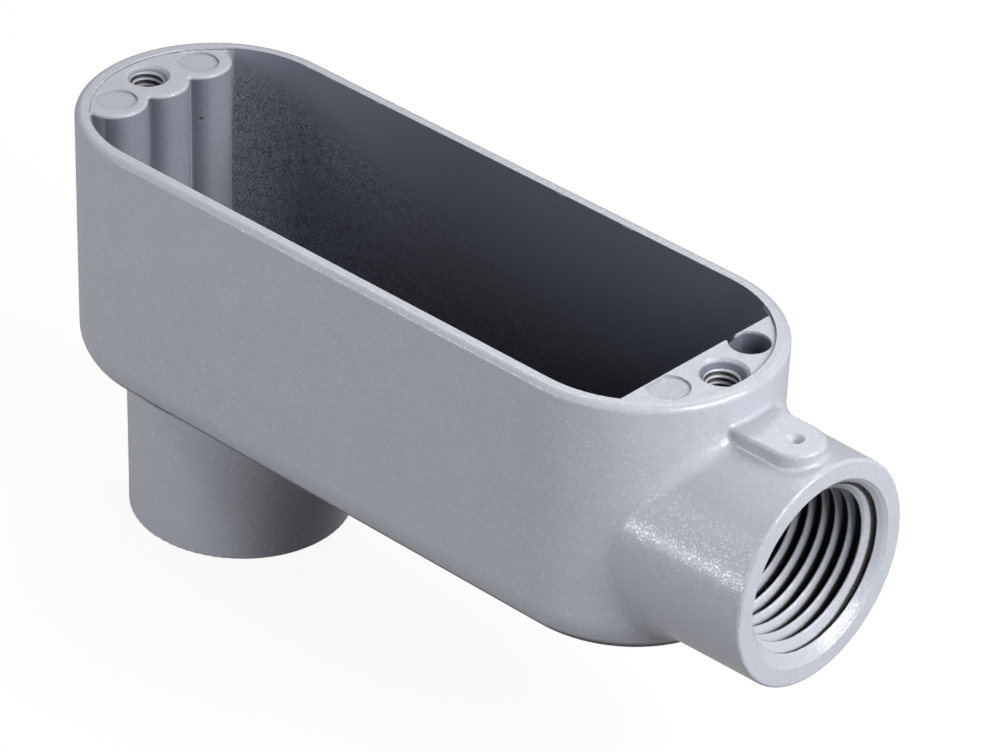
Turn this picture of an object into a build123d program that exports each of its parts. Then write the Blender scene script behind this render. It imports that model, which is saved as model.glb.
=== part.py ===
from build123d import *
import os
from math import hypot, radians, tan

# Conduit body for half inch conduit, cast in aluminium as one piece: an open trough with a threaded hub
# on its end and a second one on its back. The open face that the cover closes is up.
# +X runs from the back hub towards the end hub, and the origin is on the back hub's axis,
# where its thread starts.

# Driving dimensions, in millimetres and degrees

# Hubs, both for the same conduit. The hub sets the width and the depth of the trough.
thread_radius = 10.6
hub_wall = 2.9
hub_draft = 0.8
hub_edge_round = 0.4
end_hub_reach = 10.8
end_hub_root_round = 2.0
back_hub_reach = 17.9
back_hub_offset = 4.7
back_hub_root_round = 1.2

# Passage through a hub: lead-in, thread, shoulder and smooth throat
thread_length = 14.0
lead_in_length = 1.6
lead_in_growth = 0.42
mouth_chamfer = 0.25
throat_radius = 7.9
throat_lip_chamfer = 0.6

# Trough, an oblong with round ends
shell_straight = 65.9
shell_beside_hub = 2.85
shell_below_hub = 1.2
shell_above_lug = 3.9
shell_draft = 0.65
rim_round = 0.8
underside_round = 5.5
rim_wall = 1.65
floor_thickness = 2.2
cavity_draft = 0.8
floor_round = 1.6

# Ledges for the cover screws, a step below the rim
ledge_step = 0.3
column_radius = 3.7
column_set_in = 6.55
outer_column_radius = 4.0
outer_column_pitch = 6.75
column_edge_round = 0.3
column_root_round = 0.3
cusp_round = 0.4
column_backing = 1.0
bulkhead_set_in = 8.7
bulkhead_edge_round = 0.15

# Cover screw holes, at the outer radius of their thread
screw_radius = 2.1
left_screw_set_in = 4.9
left_screw_depth = 10.0
left_sink_radius = 2.65
right_screw_set_in = 4.5
right_screw_depth = 6.0
right_sink_radius = 2.95
drill_point_angle = 59.0

# Round marks of the pins that pushed the casting out of its die, and the bite broken out beside one
pin_radius = 2.5
pin_mark_depth = 0.25
pin_mark_inward = 0.2
pin_mark_set_in = 6.6
pin_mark_wall = 0.2
deep_pin_radius = 2.4
deep_pin_depth = 2.5
deep_pin_set_in = 6.45
bite_radius = 0.8
bite_reach = 0.45
bite_offset = 0.75

# Lug on the end hub
lug_rise = 1.6
lug_width = 7.0
lug_behind_face = 1.45
lug_edge_round = 0.4
lug_root_round = 0.5
dimple_radius = 1.1
dimple_depth = 0.95

# How far a cutting shape runs past the surface that it cuts
overrun = 1.0

# Positions that follow from the sizes

hub_radius = thread_radius + hub_wall
shell_radius = hub_radius + shell_beside_hub
shell_depth = shell_above_lug + lug_rise + 2 * hub_radius + shell_below_hub
back_hub_face_z = -lead_in_length
underside_z = back_hub_face_z + back_hub_reach
floor_z = underside_z + floor_thickness
rim_z = underside_z + shell_depth
ledge_z = rim_z - ledge_step
lug_z = rim_z - shell_above_lug
end_hub_z = lug_z - lug_rise - hub_radius
left_x = -back_hub_offset
right_x = left_x + shell_straight
left_end_x = left_x - shell_radius
right_end_x = right_x + shell_radius
end_hub_face_x = right_end_x + end_hub_reach
lug_x = end_hub_face_x - lug_behind_face - lug_width / 2
column_x = left_end_x + column_set_in
bulkhead_x = right_end_x - bulkhead_set_in
left_screw_x = left_end_x + left_screw_set_in
right_screw_x = right_end_x - right_screw_set_in
right_pin_x = right_end_x - pin_mark_set_in
deep_pin_x = right_end_x - deep_pin_set_in
cavity_radius = shell_radius - rim_wall
outer_column_x = column_x + column_radius - outer_column_radius
pin_pitch = outer_column_pitch - pin_mark_inward
cavity_depth = rim_z - floor_z
column_height = ledge_z - floor_z + overrun
column_growth = column_height * tan(radians(cavity_draft))
bulkhead_foot_x = bulkhead_x - column_growth


def trough(radius, depth, draft):
    """Solid oblong that narrows from the rim down, with round ends about the two end centres."""
    foot = radius - depth * tan(radians(draft))
    bottom_z = rim_z - depth
    half_section = Polyline((0, rim_z), (radius, rim_z), (foot, bottom_z), (0, bottom_z), close=True)
    round_end = revolve(Plane.YZ * make_face(half_section), Axis.Z, revolution_arc=-180)
    section = Polyline((-radius, rim_z), (radius, rim_z), (foot, bottom_z), (-foot, bottom_z), close=True)
    middle = extrude(Plane.YZ.offset(left_x) * make_face(section), shell_straight)
    return middle + Pos(right_x, 0) * round_end + Pos(left_x, 0) * Rot(0, 0, 180) * round_end


def column(radius):
    """Round column under a ledge, thicker downwards, its foot running past the cavity floor."""
    foot_radius = radius + column_growth
    solid = Cone(foot_radius, radius, column_height, align=(Align.CENTER, Align.CENTER, Align.MAX))
    return Pos(0, 0, ledge_z) * solid


def hub(length):
    """Solid hub standing on its face at the local origin and widening inwards along +Z."""
    root_radius = hub_radius + length * tan(radians(hub_draft))
    solid = Cone(hub_radius, root_radius, length, align=(Align.CENTER, Align.CENTER, Align.MIN))
    face_edge = solid.edges().group_by(Axis.Z)[0]
    return fillet(face_edge, hub_edge_round)


def passage(length):
    """Space through a hub from its face at the local origin inwards along +Z."""
    thread_end = lead_in_length + thread_length
    outline = Polyline(
        (0, 0),
        (thread_radius + lead_in_growth, 0),
        (thread_radius, lead_in_length),
        (thread_radius, thread_end),
        (throat_radius, thread_end),
        (throat_radius, length),
        (0, length),
        close=True,
    )
    return revolve(Plane.XZ * make_face(outline), Axis.Z)


def screw_hole(depth, sink_radius):
    """Countersunk blind hole below the local origin, ending in the cone that a drill leaves."""
    sink_depth = sink_radius - screw_radius
    cone_depth = screw_radius / tan(radians(drill_point_angle))
    outline = Polyline(
        (0, 0),
        (sink_radius, 0),
        (screw_radius, -sink_depth),
        (screw_radius, -depth),
        (0, -depth - cone_depth),
        close=True,
    )
    return revolve(Plane.XZ * make_face(outline), Axis.Z)


def lies_flat_at(edge, height):
    """True for an edge that runs level at this height."""
    box = edge.bounding_box()
    return abs(box.min.Z - height) < 0.01 and abs(box.max.Z - height) < 0.01


def is_full_circle(edge, radius):
    """True for a whole circle of this radius."""
    return edge.geom_type == GeomType.CIRCLE and edge.is_closed and abs(edge.radius - radius) < 0.01


def borders_cavity_wall(edge):
    """True for an edge at ledge height that follows the drafted wall of the cavity."""
    middle = edge @ 0.5
    past_end = max(left_x - middle.X, middle.X - right_x, 0)
    return abs(hypot(past_end, middle.Y) - cavity_radius) < rim_wall / 10


# Trough, drafted from the rim down

shell = trough(shell_radius, shell_depth, shell_draft)
shell = fillet(shell.faces().sort_by(Axis.Z)[0].edges(), underside_round)
shell = fillet(shell.faces().sort_by(Axis.Z)[-1].edges(), rim_round)

# Both hubs, each run into the solid trough and blended at its root

back_hub = Pos(0, 0, back_hub_face_z) * hub(floor_z - back_hub_face_z)
with_back_hub = shell + back_hub
back_root = new_edges(shell, back_hub, combined=with_back_hub)
casting = fillet(back_root, back_hub_root_round)

end_hub = Pos(end_hub_face_x, 0, end_hub_z) * Rot(0, -90, 0) * hub(end_hub_face_x - right_x)
with_end_hub = casting + end_hub
end_root = new_edges(casting, end_hub, combined=with_end_hub)
casting = fillet(end_root, end_hub_root_round)

# Lug on top of the end hub: a tongue with a round tip and a drilled dimple, blended into the end wall

lug_outline = Pos(lug_x, 0) * Circle(lug_width / 2)
lug_outline += Pos((lug_x + right_x) / 2, 0) * Rectangle(lug_x - right_x, lug_width)
lug = extrude(Plane.XY.offset(lug_z) * lug_outline, lug_z - end_hub_z, dir=(0, 0, -1))
brow = [e for e in lug.edges() if lies_flat_at(e, lug_z) and e.bounding_box().max.X > right_x + overrun]
lug = fillet(brow, lug_edge_round)
with_lug = casting + lug
seams = new_edges(casting, lug, combined=with_lug)
casting = fillet(seams, lug_root_round)
dimple = Cone(0, dimple_radius, dimple_depth, align=(Align.CENTER, Align.CENTER, Align.MAX))
casting -= Pos(lug_x, 0, lug_z) * dimple

# Cavity: a drafted oblong less three scalloped columns on the left and a flat bulkhead on the right,
# both a small step lower than the rim. They carry the cover screws and give the ejector pins something
# to push on.

outer_column = Pos(outer_column_x, outer_column_pitch) * column(outer_column_radius)
columns = Pos(column_x, 0) * column(column_radius) + [outer_column, mirror(outer_column, Plane.XZ)]
cusps = [e for e in columns.edges().filter_by(GeomType.CIRCLE, reverse=True) if e.center().X > column_x]
columns = fillet(cusps, cusp_round)
behind_columns = Box(
    shell_radius, 2 * shell_radius, column_height, align=(Align.MAX, Align.CENTER, Align.MAX)
)
columns += Pos(column_x - column_backing, 0, ledge_z) * behind_columns
bulkhead_section = Polyline(
    (bulkhead_x, ledge_z),
    (bulkhead_foot_x, ledge_z - column_height),
    (right_end_x, ledge_z - column_height),
    (right_end_x, ledge_z),
    close=True,
)
bulkhead = extrude(Plane.XZ * make_face(bulkhead_section), shell_radius, both=True)
cavity = trough(cavity_radius, cavity_depth, cavity_draft)
cavity = fillet(cavity.faces().sort_by(Axis.Z)[0].edges(), floor_round)
casting -= cavity - columns - bulkhead

# Edges of the ledges where columns and bulkhead drop away, and the roots of the columns at the wall

ledge_edges = [e for e in casting.edges() if lies_flat_at(e, ledge_z) and not borders_cavity_wall(e)]
casting = fillet([e for e in ledge_edges if e.center().X < left_x], column_edge_round)
ledge_edges = [e for e in casting.edges() if lies_flat_at(e, ledge_z) and not borders_cavity_wall(e)]
casting = fillet([e for e in ledge_edges if e.center().X > right_x], bulkhead_edge_round)
uprights = [e for e in casting.edges() if e.bounding_box().size.Z > cavity_depth / 2]
uprights = [e for e in uprights if left_end_x + rim_wall < e.center().X < left_x - overrun]
column_roots = [e for e in uprights if abs(e.center().Y) > outer_column_pitch]
casting = fillet(column_roots, column_root_round)

# Passages through the hubs, their edges broken at the mouth and at both ends of the throat

casting -= Pos(0, 0, back_hub_face_z) * passage(floor_z - back_hub_face_z)
casting -= Pos(end_hub_face_x, 0, end_hub_z) * Rot(0, -90, 0) * passage(end_hub_face_x - bulkhead_foot_x)
mouths = [e for e in casting.edges() if is_full_circle(e, thread_radius + lead_in_growth)]
casting = chamfer(mouths, mouth_chamfer)
throat_rims = [e for e in casting.edges() if is_full_circle(e, throat_radius)]
slanted_rims = [e for e in casting.edges() if e.geom_type == GeomType.ELLIPSE and e.is_closed]
casting = chamfer(throat_rims + slanted_rims, throat_lip_chamfer)

# Screw holes and the marks of the ejector pins. On the right a thin wall is left between the marks and
# the face of the bulkhead. One pin there sank deep, and a bite of its thin wall has broken out.

casting -= Pos(left_screw_x, 0, ledge_z) * screw_hole(left_screw_depth, left_sink_radius)
casting -= Pos(right_screw_x, 0, ledge_z) * screw_hole(right_screw_depth, right_sink_radius)
pin_mark = Cylinder(pin_radius, pin_mark_depth, align=(Align.CENTER, Align.CENTER, Align.MAX))
casting -= [Pos(column_x, offset, ledge_z) * pin_mark for offset in (-pin_pitch, pin_pitch)]
deep_pin_mark = Cylinder(deep_pin_radius, deep_pin_depth, align=(Align.CENTER, Align.CENTER, Align.MAX))
right_marks = Pos(right_pin_x, -pin_pitch, ledge_z) * pin_mark
right_marks += Pos(deep_pin_x, pin_pitch, ledge_z) * deep_pin_mark
casting -= split(right_marks, Plane.YZ.offset(bulkhead_x + pin_mark_wall))
bite = Rot(0, 90, 0) * Cylinder(bite_radius, 2 * bite_reach)
casting -= Pos(bulkhead_x, pin_pitch - bite_offset, ledge_z) * bite

os.makedirs("parts", exist_ok=True)
export_step(casting, "parts/conduit_body.step")
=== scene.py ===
import math
import bmesh
import bpy
from mathutils import Matrix, Vector


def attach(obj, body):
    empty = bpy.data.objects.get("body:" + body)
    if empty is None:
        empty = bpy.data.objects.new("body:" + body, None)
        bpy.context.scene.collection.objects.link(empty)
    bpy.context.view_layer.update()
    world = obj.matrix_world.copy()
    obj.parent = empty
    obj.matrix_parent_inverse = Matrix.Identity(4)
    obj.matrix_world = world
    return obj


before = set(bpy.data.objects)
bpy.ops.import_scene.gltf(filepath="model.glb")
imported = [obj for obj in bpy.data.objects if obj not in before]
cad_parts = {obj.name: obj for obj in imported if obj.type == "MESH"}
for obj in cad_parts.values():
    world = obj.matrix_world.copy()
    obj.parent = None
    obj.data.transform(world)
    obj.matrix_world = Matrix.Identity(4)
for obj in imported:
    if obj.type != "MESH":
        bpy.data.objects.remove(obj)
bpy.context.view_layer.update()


# Cast body: aluminium, die cast in one piece with its hubs, screw columns, bulkhead and lug. Its grey powder
# coat, which has fine metal flake in it, is full on the outside, and thin and rough on the cavity's walls,
# where the spray hardly reached. Inside the cavity the colour also carries painted shade on the columns,
# beside their cusps, on the walls and along the step at the ledges, and a painted highlight in the corner
# behind the columns.

mm = 0.001
left_centre = -4.7
right_centre = 61.2
cavity_radius = 14.7
ledge_height = 49.7
rim_height = 50.0
below_floor = 17.0
column_pitch = 6.75
column_reach = -9.0
column_wall = -13.5
back_corner = 10.2
bulkhead_face = 67.2
speck_y, speck_z = 4.3, 44.2
# Nicks in the rim's inner edge: place along X, half width and depth
rim_nicks = [(-4.2, 0.4, 0.9), (-0.6, 1.1, 1.8), (7.0, 0.5, 1.2), (35.9, 0.8, 1.4), (46.0, 0.9, 1.8)]

flake_size = 0.17
flake_grey = (0.62, 0.64, 0.68, 1)
coat_shade = (0.255, 0.266, 0.30, 1)
coat_dark, coat_light = (0.312, 0.327, 0.368, 1), (0.334, 0.348, 0.391, 1)
# Painted shade of the columns, and deeper painted shade beside their cusps
column_painted_shade, cusp_painted_shade = (0.176, 0.189, 0.226, 1), (0.090, 0.100, 0.128, 1)
# Painted highlight on the strip in the corner behind the outer column
corner_painted_highlight = (0.36, 0.375, 0.42, 1)
# Painted shade in the step where the rim meets the ledges
step_shade_grey = (0.10, 0.105, 0.12, 1)
speck_black = (0.03, 0.03, 0.035, 1)
# Thin rough coat of the cavity's walls, darkened with painted shade, more so low down
thin_coat_shaded, thin_coat_deep_shade = (0.086, 0.094, 0.122, 1), (0.066, 0.070, 0.088, 1)
thin_coat_left = (0.18, 0.197, 0.25, 1)
grain_grey = (0.22, 0.235, 0.28, 1)
coat_roughness = 0.2
coat_ior = 1.4


class Socket:
    """An output of a shader node. Sums, products and comparisons of sockets add Math nodes."""

    def __init__(self, maker, output):
        self.maker = maker
        self.output = output

    def math(self, operation, *others):
        return self.maker.node("ShaderNodeMath", {"operation": operation}, dict(enumerate((self,) + others)))

    def __add__(self, other):
        return self.math("ADD", other)

    def __sub__(self, other):
        return self.math("SUBTRACT", other)

    def __rsub__(self, other):
        return self.maker.node("ShaderNodeMath", {"operation": "SUBTRACT"}, {0: other, 1: self})

    def __mul__(self, other):
        return self.math("MULTIPLY", other)

    def __truediv__(self, other):
        return self.math("DIVIDE", other)

    def __pow__(self, other):
        return self.math("POWER", other)

    def larger(self, other):
        return self.math("MAXIMUM", other)

    __radd__ = __add__
    __rmul__ = __mul__


class Finish:
    """A procedural finish of a material or a world, built node by node."""

    def __init__(self, owner):
        owner.use_nodes = True
        self.owner = owner
        self.tree = owner.node_tree
        self.tree.nodes.clear()

    def node(self, kind, settings=None, inputs=None, output=0):
        """Adds a node with its settings, then its sockets' values or links, and returns one output."""
        made = self.tree.nodes.new(kind)
        for name, value in (settings or {}).items():
            setattr(made, name, value)
        for name, value in (inputs or {}).items():
            if isinstance(value, Socket):
                self.tree.links.new(value.output, made.inputs[name])
            else:
                made.inputs[name].default_value = value
        return Socket(self, made.outputs[output]) if made.outputs else None

    def also(self, socket, output):
        """Another output of the node that a socket comes from."""
        return Socket(self, socket.output.node.outputs[output])

    def place(self):
        """The point in the row's frame, in millimetres."""
        point = self.node("ShaderNodeTexCoord", output="Object")
        return self.scaled(point, 1 / mm)

    def scaled(self, vector, factor):
        return self.node("ShaderNodeVectorMath", {"operation": "SCALE"}, {0: vector, "Scale": factor})

    def parts(self, vector):
        first = self.node("ShaderNodeSeparateXYZ", inputs={0: vector})
        return first, self.also(first, 1), self.also(first, 2)

    def step(self, value, low, high):
        """0 below low and 1 above high, smooth between them; the other way round where high is lower."""
        return self.node(
            "ShaderNodeMapRange",
            {"interpolation_type": "SMOOTHSTEP"},
            {"Value": value, "From Min": low, "From Max": high, "To Min": 0.0, "To Max": 1.0},
        )

    def blend(self, share, first, second):
        """The first colour where share is 0 and the second where it is 1."""
        return self.node("ShaderNodeMix", {"data_type": "RGBA"}, {0: share, 6: first, 7: second}, output=2)

    def noise(self, vector, scale, detail=2.0, roughness=0.5):
        inputs = {"Vector": vector, "Scale": scale, "Detail": detail, "Roughness": roughness}
        return self.node("ShaderNodeTexNoise", inputs=inputs)

    def bump(self, height, depth, strength, below=None):
        """Relief of this depth in millimetres, laid over another relief where one is given."""
        inputs = {"Height": height, "Distance": depth * mm, "Strength": strength}
        if below is not None:
            inputs["Normal"] = below
        return self.node("ShaderNodeBump", inputs=inputs)

    def surface(self, inputs):
        shader = self.node("ShaderNodeBsdfPrincipled", inputs=inputs)
        self.node("ShaderNodeOutputMaterial", inputs={"Surface": shader})
        return self.owner


def flakes(finish, point, size):
    """Random value and tilt of the metal flakes in the coat, each about this many millimetres wide."""
    cell = finish.node("ShaderNodeTexVoronoi", {"feature": "F1"}, {"Vector": point, "Scale": 1 / size}, "Color")
    centre = finish.also(cell, "Position")
    subtract = {"operation": "SUBTRACT"}
    offset = finish.node("ShaderNodeVectorMath", subtract, {0: finish.scaled(point, 1 / size), 1: centre})
    lean = finish.node("ShaderNodeVectorMath", subtract, {0: cell, 1: (0.5, 0.5, 0.5)})
    tilt = finish.node("ShaderNodeVectorMath", {"operation": "DOT_PRODUCT"}, {0: offset, 1: lean}, "Value")
    return finish.parts(cell)[0], tilt


def coat_of(finish, point):
    """Colour, flake share, fine noise and relief of the coat where it is full."""
    value, tilt = flakes(finish, point, flake_size)
    bright_flake = finish.step(value, 0.84, 0.92)
    mottle = finish.noise(point, 0.22, 3.0)
    fine = finish.noise(point, 7.0, 2.0, 0.6)
    tone = finish.blend(0.5 + 1.4 * (mottle - 0.5), coat_dark, coat_light)
    tone = finish.blend(0.10 * finish.step(fine, 0.3, 0.7), tone, coat_shade)
    tone = finish.blend(0.30 * bright_flake, tone, flake_grey)
    return tone, bright_flake, fine, tilt


coat = Finish(bpy.data.materials.new("grey_flake_powder_coat"))
point = coat.place()
x, y, z = coat.parts(point)
tone, bright_flake, fine, tilt = coat_of(coat, point)

# Regions: the cavity, the columns in it, its walls up to the nicked rim, and its corner behind the columns,
# which gets a painted highlight
past_end = (left_centre - x).larger(x - right_centre).larger(0.0)
off_axis = (past_end * past_end + y * y) ** 0.5
within = coat.step(off_axis, cavity_radius + 0.6, cavity_radius + 0.1)
within = within * coat.step(z, below_floor, below_floor + 0.5)
in_front = coat.step(y, back_corner + 0.7, back_corner) * coat.step(x, column_reach, column_reach - 1.0)
columns = coat.step(x, column_wall, column_wall - 0.5).larger(in_front)
below_ledge = coat.step(z, ledge_height - 0.15, ledge_height - 0.5)
between_ledges = coat.step(x, bulkhead_face + 0.1, bulkhead_face - 0.1) * (1 - columns)
nicks = coat.noise(point, 0.9, 4.0, 0.7)
for place, half_width, depth in rim_nicks:
    away = (x - place) / half_width
    nicks = nicks + depth * coat.step(away * away, 1.0, 0.4)
below_rim = coat.step(z + 0.12 * nicks, rim_height + 0.05, rim_height - 0.02)
inside = within * below_ledge
walls = within * (1 - columns) * below_ledge.larger(between_ledges * below_rim)
lit_corner_strip = below_ledge * coat.step(x, column_wall + 0.2, column_wall - 0.1) * coat.step(y, 10.6, 11.0)

# Thin coat on the walls, darkened with painted shade that is deeper low down; lighter and grainier near the
# left end
spray = coat.noise(point, 5.6, 2.0, 0.6)
coarse = coat.noise(point, 0.9, 2.0)
grain = coat.step(spray + 0.16 * (coarse - 0.5), 0.36, 0.68)
near_left = coat.step(x, 24.0, -10.0)
# Low in the cavity: more grain, and deeper painted shade
low = coat.step(z + 0.25 * x, 47.0, 41.0)
rough_spray = walls * low * (0.28 + 0.72 * near_left)
thin_coat_and_shade = coat.blend(low, thin_coat_shaded, thin_coat_deep_shade)
thin_coat_and_shade = coat.blend(0.7 * near_left * (1 - low), thin_coat_and_shade, thin_coat_left)
thin_coat_and_shade = coat.blend(grain * rough_spray, thin_coat_and_shade, grain_grey)

# Columns darkened with painted shade, more beside their cusps, a painted highlight on the corner behind them, a
# dark speck, and painted shade along the step at the ledges
beside_cusp = (y + 1.5 * column_pitch).math("FLOORED_MODULO", column_pitch)
shaded_columns = coat.blend(coat.step(beside_cusp, 2.4, 0.1), column_painted_shade, cusp_painted_shade)
tone = coat.blend(inside * columns, tone, shaded_columns)
# Painted highlight in the corner behind the columns
tone = coat.blend(inside * lit_corner_strip, tone, corner_painted_highlight)
from_speck = ((y - speck_y) * (y - speck_y) + (z - speck_z) * (z - speck_z)) ** 0.5
tone = coat.blend(0.8 * inside * columns * coat.step(from_speck, 0.26, 0.14), tone, speck_black)
# Painted shade along the step between the rim and the ledges
step_shade = coat.step(off_axis, 14.4, 14.55) * coat.step(off_axis, 15.0, 14.85)
step_shade = step_shade * coat.step(z, 49.86, 49.79) * coat.step(z, 49.60, 49.66)
tone = coat.blend(0.75 * step_shade, tone, step_shade_grey)

relief = coat.bump(0.6 * fine + 3.6 * rough_spray * grain, 0.02, 0.5)
powder_coat = coat.surface(
    {
        "Base Color": coat.blend(walls, tone, thin_coat_and_shade),
        "Metallic": 0.15 * bright_flake * (1 - walls),
        "Roughness": coat_roughness + 0.08 * fine + 0.37 * walls,
        "Normal": coat.bump(tilt, 0.02, 0.3, relief),
        "IOR": coat_ior,
    }
)
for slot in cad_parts["conduit_body"].material_slots:
    slot.material = powder_coat


# Hub threads: tapered pipe thread, 14 to the inch, cut into both hubs after casting and before the coat, with
# a wide chamfer at the mouth. Spray covers the chamfer, the crests and the upper part of the flanks that
# face the mouth; deeper down the grooves are nearly black.

inch = 25.4
hub_pitch = inch / 14
hub_root_radius = 10.58
hub_crest_radius = 9.16
hub_thread_length = 14.0
hub_taper = 1 / 32
chamfer_depth = 1.36
chamfer_radius = 10.94
chamfer_slope = 1.0
root_flat = 0.06
crest_flat = 0.10
run_out = 0.3
run_in = 0.4
liner_wall = 0.12
chamfer_wall = 0.08
groove_black, groove_brown = (0.010, 0.009, 0.009, 1), (0.040, 0.033, 0.032, 1)


def thread_liner(name, pitch, root_radius, crest_radius, length, taper, mouth=None, around=192, per_turn=24):
    """
    Closed ring with a right-hand internal thread that runs down along -Z from its start at the origin. The
    mouth, where there is one, is a chamfer above the origin, given by its depth, its radius and its slope.
    """
    mouth_depth, mouth_radius, mouth_slope = mouth or (0.0, 0.0, 0.0)
    rows = int((mouth_depth + length) / pitch * per_turn) + 1
    angles = [2 * math.pi * i / around for i in range(around)]
    mesh = bmesh.new()
    groove = mesh.verts.layers.float.new("groove")
    rings = []
    for row in range(rows):
        down = (mouth_depth + length) * row / (rows - 1) - mouth_depth
        chamfer = mouth_radius - mouth_slope * (down + mouth_depth)
        ending = min((length - down) / run_out, 1.0)
        ring = []
        for angle in angles:
            off_crest = abs((down / pitch + angle / (2 * math.pi)) % 1.0 - 0.5) * 2
            rise = min(max((1 - root_flat - off_crest) / (1 - root_flat - crest_flat), 0.0), 1.0)
            radius = root_radius - taper * down - (root_radius - crest_radius) * rise * ending
            if not mouth:
                radius = root_radius - (root_radius - radius) * min(down / run_in, 1.0)
            in_chamfer = mouth is not None and chamfer > radius
            radius = max(radius, chamfer)
            vertex = mesh.verts.new((radius * math.cos(angle), radius * math.sin(angle), -down))
            vertex[groove] = 0.0 if in_chamfer else 1 - rise
            ring.append(vertex)
        rings.append(ring)
    outside = [(length, root_radius + liner_wall), (0.0, root_radius + liner_wall)]
    if mouth:
        outside.append((-mouth_depth, mouth_radius + chamfer_wall))
    for down, radius in outside:
        rings.append([mesh.verts.new((radius * math.cos(a), radius * math.sin(a), -down)) for a in angles])
    for ring, below in zip(rings, rings[1:] + rings[:1]):
        for j in range(around):
            k = (j + 1) % around
            mesh.faces.new((ring[j], ring[k], below[k], below[j]))
    for face in mesh.faces:
        face.smooth = True
    bmesh.ops.recalc_face_normals(mesh, faces=mesh.faces)
    data = bpy.data.meshes.new(name)
    mesh.to_mesh(data)
    mesh.free()
    piece = bpy.data.objects.new(name, data)
    bpy.context.scene.collection.objects.link(piece)
    return piece


def put(piece, place, direction):
    """Moves a ring's start to this place in millimetres, its +Z turned to the direction."""
    turn = Vector((0, 0, 1)).rotation_difference(Vector(direction)).to_matrix().to_4x4()
    piece.data.transform(Matrix.Translation(Vector(place) * mm) @ turn @ Matrix.Scale(mm, 4))
    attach(piece, "root")


threads = Finish(bpy.data.materials.new("coated_hub_thread"))
point = threads.place()
x, y, z = threads.parts(point)
tone, bright_flake, fine, tilt = coat_of(threads, point)
groove = threads.node("ShaderNodeAttribute", {"attribute_name": "groove"}, output="Fac")
spray = threads.noise(point, 3.6, 3.0, 0.7)
reach = 0.42 + 0.2 * threads.step(z, 24.5, 20.5) + 0.14 * threads.step(x, 85.2, 86.0)
bare = threads.step(groove + 0.16 * (spray - 0.5) - reach, -0.07, 0.13)
groove_dark = threads.blend(threads.step(spray, 0.35, 0.75), groove_black, groove_brown)
hub_thread_finish = threads.surface(
    {
        "Base Color": threads.blend(bare, tone, groove_dark),
        "Metallic": 0.12 * bright_flake * (1 - bare),
        "Roughness": coat_roughness + 0.1 * fine + 0.25 * bare,
        "Normal": threads.bump(tilt, 0.02, 0.22, threads.bump(spray, 0.03, 0.5)),
        "IOR": coat_ior,
    }
)

hub_mouth = (chamfer_depth, chamfer_radius, chamfer_slope)
for name, place, direction in (
    ("end_hub_thread", (86.75, 0, 31), (1, 0, 0)),
    ("back_hub_thread", (0, 0, 0), (0, 0, -1)),
):
    liner = thread_liner(
        name, hub_pitch, hub_root_radius, hub_crest_radius, hub_thread_length, hub_taper, hub_mouth
    )
    liner.data.materials.append(hub_thread_finish)
    put(liner, place, direction)


# Cover screw threads: tapped into the casting's ledges before the coat, 32 to the inch, right-handed. Coat
# lies on the first turns, and the metal below is dark.

screw_pitch = inch / 32
screw_root_radius = 2.08
screw_crest_radius = 1.73

for name, place, length in (
    ("left_screw_thread", (-16.15, 0, 49.1), 9.3),
    ("right_screw_thread", (73.05, 0, 48.8), 5.0),
):
    liner = thread_liner(
        name, screw_pitch, screw_root_radius, screw_crest_radius, length, taper=0.0, around=72, per_turn=14
    )
    liner.data.materials.append(hub_thread_finish)
    put(liner, place, (0, 0, 1))


# Floor: a wide plain sheet of white board that the part stands on, its back hub down. The camera sees it
# white, and paint sees it at a part of that, while the light that it throws back is weak.

board_size = 30.0
board_height = -1.65
board_grey, board_white = (0.18, 0.18, 0.18, 1), (0.8, 0.8, 0.8, 1)
board_seen = 0.92
board_reflected = 0.25

board = bmesh.new()
bmesh.ops.create_grid(board, x_segments=8, y_segments=8, size=board_size / 2)
board_mesh = bpy.data.meshes.new("white_board")
board.to_mesh(board_mesh)
board.free()
floor = bpy.data.objects.new("white_board", board_mesh)
bpy.context.scene.collection.objects.link(floor)
floor.location = (0, 0, board_height * mm)


def seen_rays(finish):
    """1 for the camera's rays, and 1 for reflected and refracted ones."""
    camera_ray = finish.node("ShaderNodeLightPath", output="Is Camera Ray")
    reflected = finish.also(camera_ray, "Is Glossy Ray")
    return camera_ray, reflected.larger(finish.also(camera_ray, "Is Transmission Ray"))


paper = Finish(bpy.data.materials.new("white_board"))
camera_ray, other_ray = seen_rays(paper)
lit = paper.node("ShaderNodeBsdfDiffuse", inputs={"Color": paper.blend(camera_ray, board_grey, board_white)})
white = paper.node("ShaderNodeEmission", inputs={"Color": (1, 1, 1, 1), "Strength": 1.0})
share = board_seen * camera_ray + board_reflected * other_ray
board_shader = paper.node("ShaderNodeMixShader", inputs={0: share, 1: lit, 2: white})
paper.node("ShaderNodeOutputMaterial", inputs={"Surface": board_shader})
floor.data.materials.append(paper.owner)


# Studio light: a wide soft box high on the right, a low strip and a large box in front, and weak boxes on the
# left and behind, in a pale room. Paint, unlike the camera, sees the room at a part of its brightness.

room_light = 0.015
room_reflected = 0.28


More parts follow.
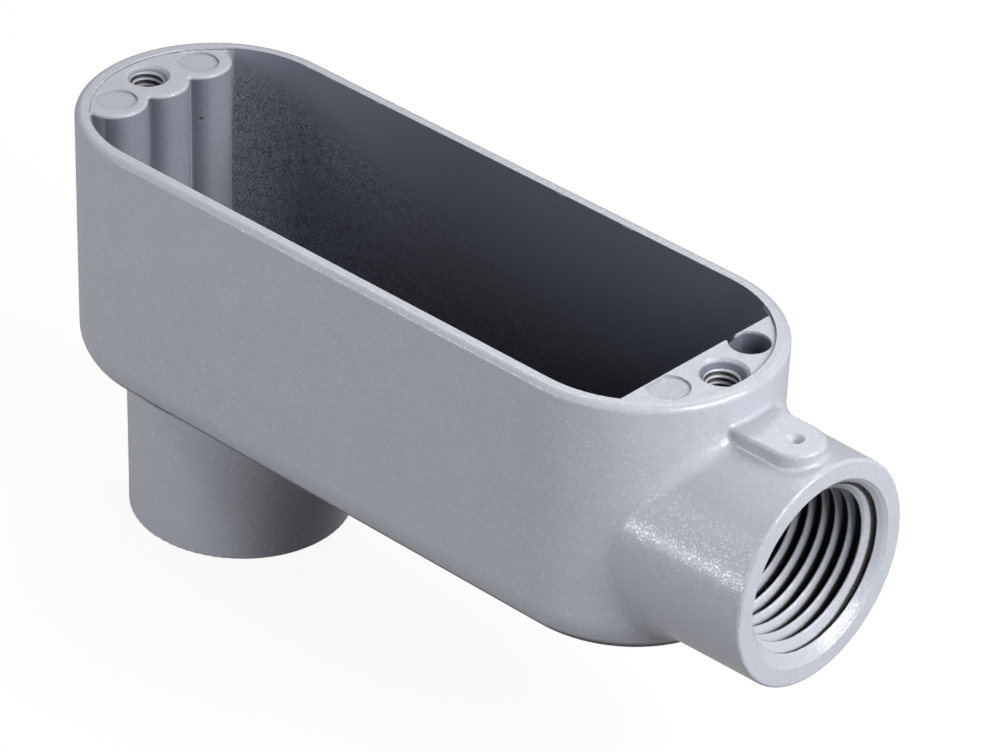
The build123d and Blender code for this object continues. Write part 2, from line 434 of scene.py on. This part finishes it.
def soft_box(name, aim, azimuth, elevation, distance, width, height, power):
    """Area lamp that looks at a point of the part, in millimetres, from this direction."""
    lamp = bpy.data.lights.new(name, "AREA")
    lamp.shape = "RECTANGLE"
    lamp.size = width
    lamp.size_y = height
    lamp.energy = power
    holder = bpy.data.objects.new(name, lamp)
    bpy.context.scene.collection.objects.link(holder)
    a, e = math.radians(azimuth), math.radians(elevation)
    away = Vector((math.cos(a) * math.cos(e), math.sin(a) * math.cos(e), math.sin(e)))
    holder.location = Vector(aim) * mm + distance * away
    holder.rotation_euler = away.to_track_quat("Z", "Y").to_euler()


soft_box("right_box", (72, 0, 35), 8, 34, 0.45, 0.36, 0.26, 4.5)
soft_box("front_strip", (75, 0, 22), -120, -1, 0.6, 0.25, 0.024, 0.85)
soft_box("front_box", (40, 0, 25), -105, 20, 0.9, 1.0, 0.6, 4.8)
soft_box("left_box", (30, 0, 25), -165, 34, 0.9, 0.50, 0.40, 0.6)
soft_box("back_box", (30, 0, 25), 125, 50, 0.9, 0.50, 0.50, 4.4)

world = bpy.data.worlds.new("pale_room")
bpy.context.scene.world = world
room = Finish(world)
camera_ray, other_ray = seen_rays(room)
strength = room_light + (1 - room_light) * camera_ray + room_reflected * other_ray
background = room.node("ShaderNodeBackground", inputs={"Color": (1, 1, 1, 1), "Strength": strength})
room.node("ShaderNodeOutputWorld", inputs={"Surface": background})


# Camera: a long lens, above and to the right of the front wall, with the angles and the place that were fitted
# to the photograph's outline.

view_azimuth = 41.978
view_elevation = 32.422
view_roll = 2.286
view_place = (369.197, -364.924, 346.173)

lens = bpy.data.cameras.new("camera")
lens.lens = 187.04
lens.sensor_width = 36
lens.clip_start = 0.05
lens.clip_end = 60
camera = bpy.data.objects.new("camera", lens)
bpy.context.scene.collection.objects.link(camera)
turn = Matrix.Rotation(math.radians(view_azimuth), 4, "Z")
turn = turn @ Matrix.Rotation(math.radians(90 - view_elevation), 4, "X")
turn = turn @ Matrix.Rotation(math.radians(view_roll), 4, "Z")
camera.matrix_world = Matrix.Translation(Vector(view_place) * mm) @ turn
bpy.context.scene.camera = camera
bpy.context.scene.view_settings.view_transform = "Standard"
